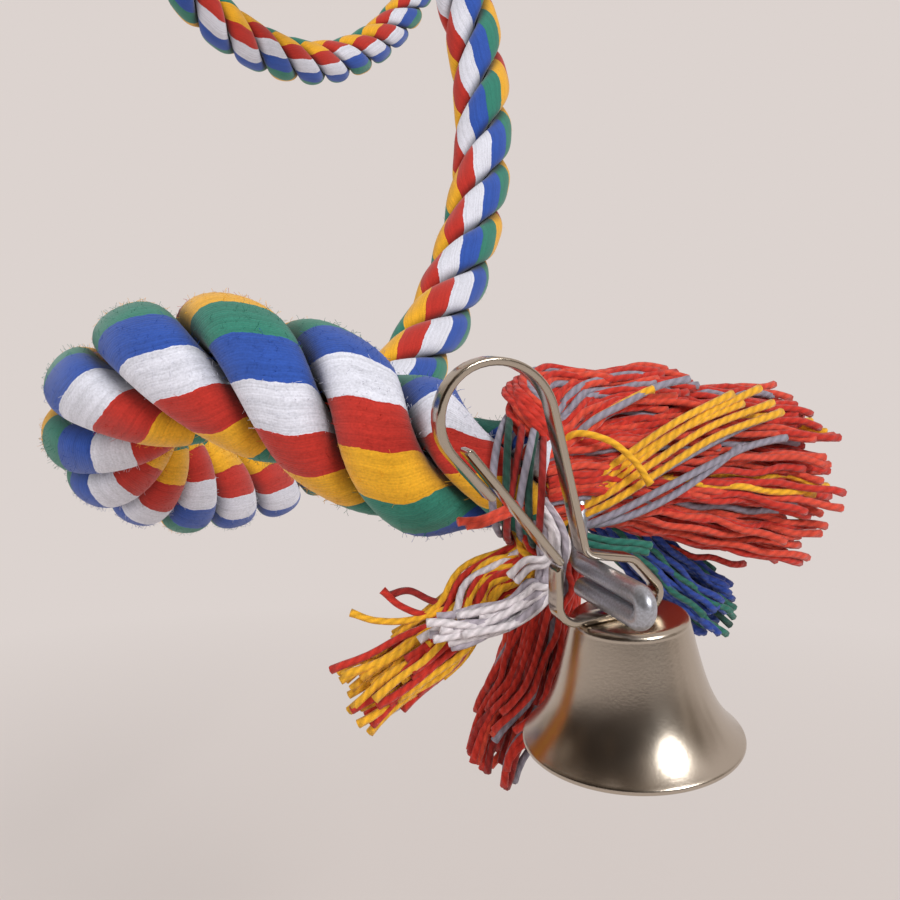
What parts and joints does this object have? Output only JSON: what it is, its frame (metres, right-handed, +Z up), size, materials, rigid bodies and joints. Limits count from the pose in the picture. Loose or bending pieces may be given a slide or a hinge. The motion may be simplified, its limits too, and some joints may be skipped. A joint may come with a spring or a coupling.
{
  "type": "spiral rope bird perch",
  "caption": "Spiral perch of wire-cored cotton rope with frayed bound ends, a spring clip to hang it on a cage bar and a bell on a like clip below.",
  "frame": {"origin": "inside top of the upper clip's bulb, where it hangs on a cage bar", "axes": "+Z up along the pull of the hanging perch, +Y along the bar that it hangs on and away from the viewer, +X to the viewer's right"},
  "size_m": [0.1968, 0.496, 0.6478],
  "materials": {
    "rope": "soft cotton rope in five colours",
    "whipping_yarn": "matt cotton yarn",
    "yarn_red": "matt cotton yarn",
    "yarn_blue": "matt cotton yarn",
    "yarn_dark": "matt cotton yarn",
    "yarn_white": "matt cotton yarn",
    "yarn_yellow": "matt cotton yarn",
    "core_wire": "galvanised",
    "nickel_strip": "nickel plated",
    "bell_nickel": "satin nickel plate"
  },
  "bodies": {
    "hang_clip": {"hang_clip_frame": "nickel_strip"},
    "hang_gate": {"hang_clip_gate": "nickel_strip"},
    "perch": {"rope": "rope", "core_wire": "core_wire", "lower_whipping": "whipping_yarn", "upper_whipping": "whipping_yarn", "lower_tassel_red": "yarn_red", "lower_tassel_blue": "yarn_blue", "lower_tassel_dark": "yarn_dark", "lower_tassel_white": "yarn_white", "lower_tassel_yellow": "yarn_yellow", "upper_tassel_red": "yarn_red", "upper_tassel_yellow": "yarn_yellow", "upper_tassel_white": "yarn_white"},
    "bell_unit": {"bell_clip_frame": "nickel_strip", "bell_shell": "bell_nickel", "bell_rivet": "bell_nickel"},
    "bell_gate": {"bell_clip_gate": "nickel_strip"},
    "clapper": {"clapper_wire": "core_wire", "clapper_ball": "bell_nickel"}
  },
  "joints": [
    {"name": "hang_gate_press", "type": "hinge", "parent": "hang_clip", "child": "hang_gate", "pos_m": [-0.00386, 0, -0.02343], "axis": [0, 1, 0], "range_deg": [0, 25], "stiffness_Nm_per_rad": 0.26, "springref_deg": -5.73},
    {"name": "perch_swing", "type": "hinge", "parent": "hang_clip", "child": "perch", "pos_m": [0, 0, -0.03337], "axis": [0, 1, 0], "range_deg": [-25, 25]},
    {"name": "bell_swing", "type": "hinge", "parent": "perch", "child": "bell_unit", "pos_m": [0.06638, -0.315, -0.61565], "axis": [0.3575, -0.9313, -0.0698], "range_deg": [-30, 30]},
    {"name": "bell_gate_press", "type": "hinge", "parent": "bell_unit", "child": "bell_gate", "pos_m": [0.06102, -0.31722, -0.61356], "axis": [-0.3575, 0.9313, 0.0698], "range_deg": [0, 25], "stiffness_Nm_per_rad": 0.26, "springref_deg": -5.73},
    {"name": "clapper_swing", "type": "hinge", "parent": "bell_unit", "child": "clapper", "pos_m": [0.07022, -0.31279, -0.62544], "axis": [0.3575, -0.9313, -0.0698], "range_deg": [-50, 50]}
  ]
}
